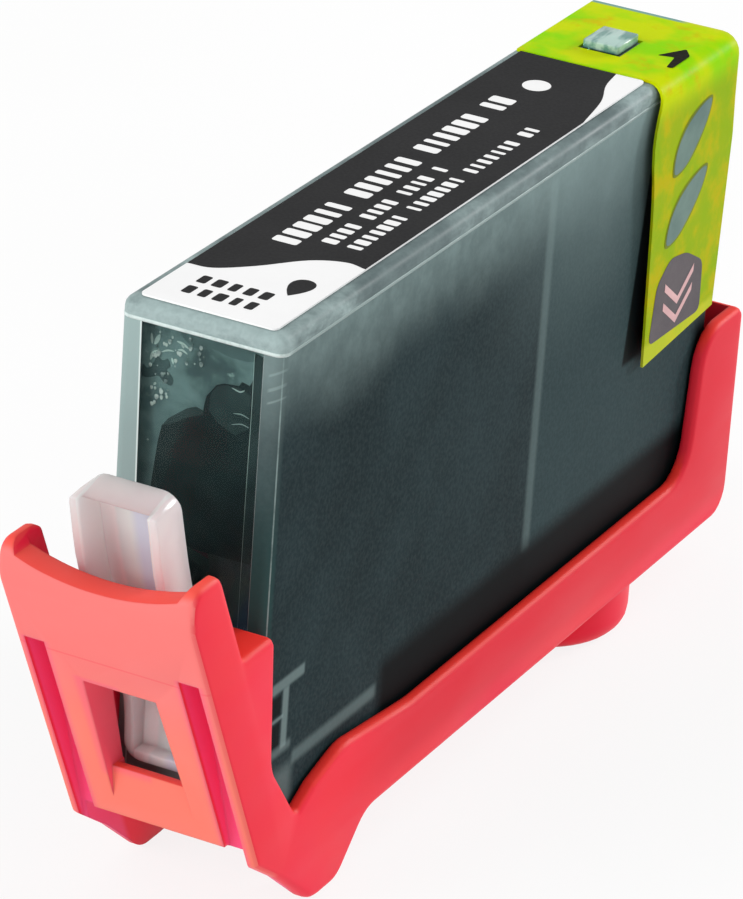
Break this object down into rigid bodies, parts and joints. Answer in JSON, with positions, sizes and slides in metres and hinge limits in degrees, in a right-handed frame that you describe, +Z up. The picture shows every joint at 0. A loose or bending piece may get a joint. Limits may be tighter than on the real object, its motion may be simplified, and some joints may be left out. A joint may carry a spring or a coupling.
{
  "type": "inkjet ink cartridge",
  "caption": "Slim ink cartridge with a see-through tank, printed label, pull tape and springy latch lever, held in a moulded transport clip with a handle.",
  "frame": {"origin": "on the surface that the cartridge stands on, under the middle of its outer box", "axes": "+Y runs along the cartridge from the latch lever to the chip end, +X to the side that the pull tape hangs on, +Z up"},
  "size_m": [0.0162, 0.0962, 0.0496],
  "materials": {
    "tank_plastic": "smoky see-through plastic, wet with ink inside",
    "lid_plastic": "frosted see-through plastic",
    "plug_rubber": "soft, dark",
    "membrane": "matt white film",
    "cap_plastic": "clear, glossy",
    "label_film": "charcoal and white print on satin film",
    "tape_film": "yellow film with grey print",
    "ink": "wet black",
    "foam": "dark foam soaked with ink",
    "felt": "dense felt",
    "filter_mesh": "fine woven wire",
    "seal_rubber": "soft, dark",
    "board": "green circuit board",
    "die_resin": "black resin",
    "contact_metal": "gold-plated",
    "lever_plastic": "clear plastic with a faint rosy frost",
    "clip_plastic": "orange-red moulded plastic, satin"
  },
  "bodies": {
    "cartridge": {"tank_body": "tank_plastic", "tank_lid": "lid_plastic", "fill_plug": "plug_rubber", "vent_membrane": "membrane", "vent_cap": "cap_plastic", "top_label": "label_film", "pull_tape": "tape_film", "ink_fill": "ink", "foam_lower": "foam", "foam_upper": "foam", "wick_felt": "felt", "outlet_filter": "filter_mesh", "outlet_seal_ring": "seal_rubber", "chip_board": "board", "chip_die": "die_resin", "chip_contact_1": "contact_metal", "chip_contact_2": "contact_metal", "chip_contact_3": "contact_metal", "chip_contact_4": "contact_metal", "transport_clip": "clip_plastic", "clip_seal_pad": "seal_rubber"},
    "lever": {"latch_lever": "lever_plastic"}
  },
  "joints": [
    {"name": "lever_flex", "type": "hinge", "parent": "cartridge", "child": "lever", "pos_m": [0, -0.03265, 0.0146], "axis": [-1, 0, 0], "range_deg": [0, 6], "stiffness_Nm_per_rad": 0.3}
  ]
}
